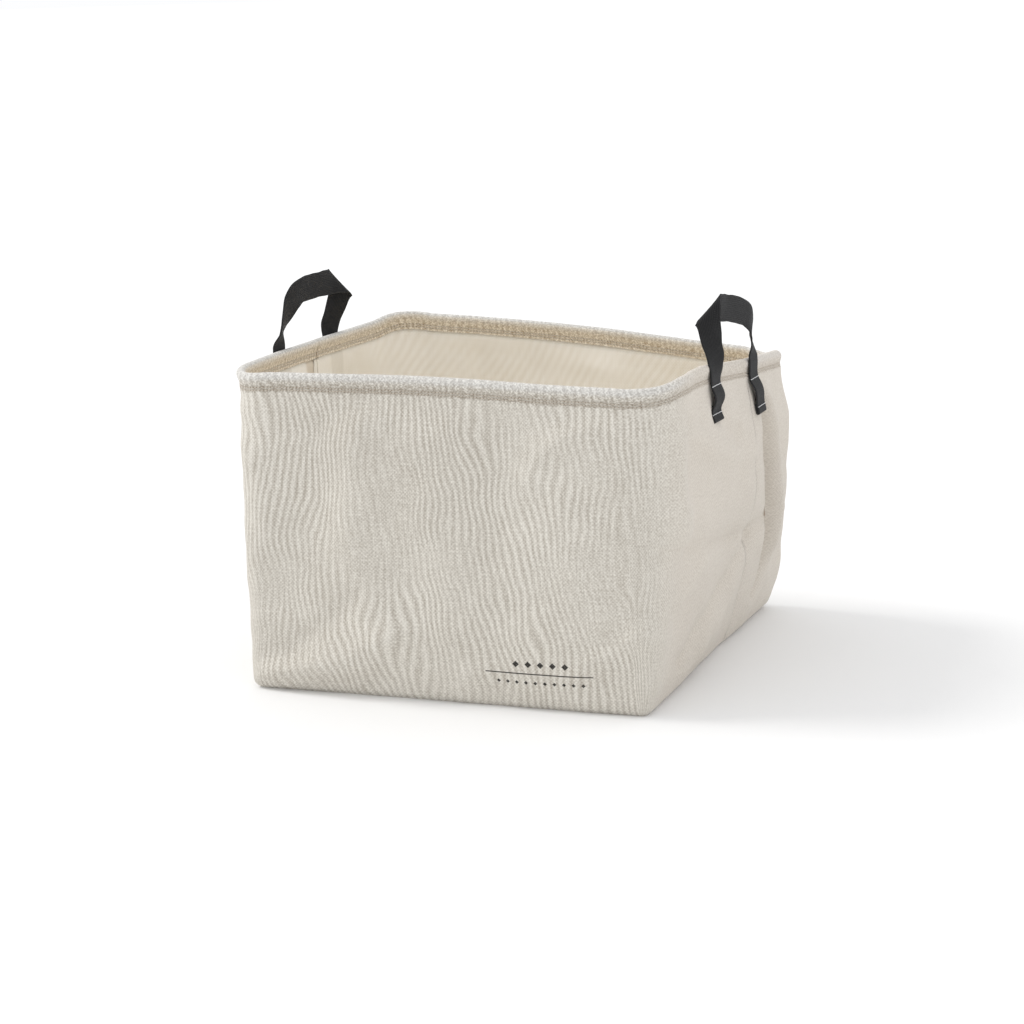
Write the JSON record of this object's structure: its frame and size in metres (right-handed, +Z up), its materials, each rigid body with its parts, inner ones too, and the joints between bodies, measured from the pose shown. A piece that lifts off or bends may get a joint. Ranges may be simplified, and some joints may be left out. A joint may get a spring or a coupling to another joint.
{
  "type": "fabric storage bin",
  "caption": "Soft rectangular canvas storage bin, open at the top, with a wire-stiffened hem and black webbing loop handles on its end walls.",
  "frame": {"origin": "on the floor, under the middle of the base panel", "axes": "+Z up, +X along the long side towards one handle, -Y towards the front panel"},
  "size_m": [0.4545, 0.4126, 0.3645],
  "materials": {
    "canvas": "matt coated canvas, coarse plain weave",
    "thread_pale": "polyester sewing thread",
    "thread_white": "heavy polyester sewing thread",
    "webbing": "black woven tape",
    "wire": "galvanised spring steel wire"
  },
  "bodies": {
    "shell": {"front_panel": "canvas", "back_panel": "canvas", "base_panel": "canvas", "base_seam": "canvas", "side_seam_right": "canvas", "side_seam_left": "canvas"},
    "rim": {"front_hem": "canvas", "back_hem": "canvas", "rim_wire": "wire", "rim_wire_ferrule": "wire", "front_hem_stitch_upper": "thread_pale", "front_hem_stitch_lower": "thread_pale", "back_hem_stitch_upper": "thread_pale", "back_hem_stitch_lower": "thread_pale", "handle_right_tail_front": "webbing", "handle_right_tail_rear": "webbing", "handle_left_tail_front": "webbing", "handle_left_tail_rear": "webbing", "handle_right_tack_front_upper": "thread_white", "handle_right_tack_front_lower": "thread_white", "handle_right_tack_rear_upper": "thread_white", "handle_right_tack_rear_lower": "thread_white", "handle_left_tack_front_upper": "thread_white", "handle_left_tack_front_lower": "thread_white", "handle_left_tack_rear_upper": "thread_white", "handle_left_tack_rear_lower": "thread_white"},
    "handle_right": {"handle_right_loop": "webbing"},
    "handle_left": {"handle_left_loop": "webbing"}
  },
  "joints": [
    {"name": "rim_collapse", "type": "slide", "parent": "shell", "child": "rim", "axis": [0, 0, 1], "range_m": [-0.15, 0], "deforming": ["front_panel", "back_panel", "side_seam_right", "side_seam_left"]},
    {"name": "handle_right_fold", "type": "hinge", "parent": "rim", "child": "handle_right", "pos_m": [0.22031, -0.00797, 0.29356], "axis": [0.0321, 0.994, -0.1047], "range_deg": [-52, 145]},
    {"name": "handle_left_fold", "type": "hinge", "parent": "rim", "child": "handle_left", "pos_m": [-0.22503, -0.00002, 0.30004], "axis": [-0.0012, -1, 0.0041], "range_deg": [-52, 145]}
  ]
}
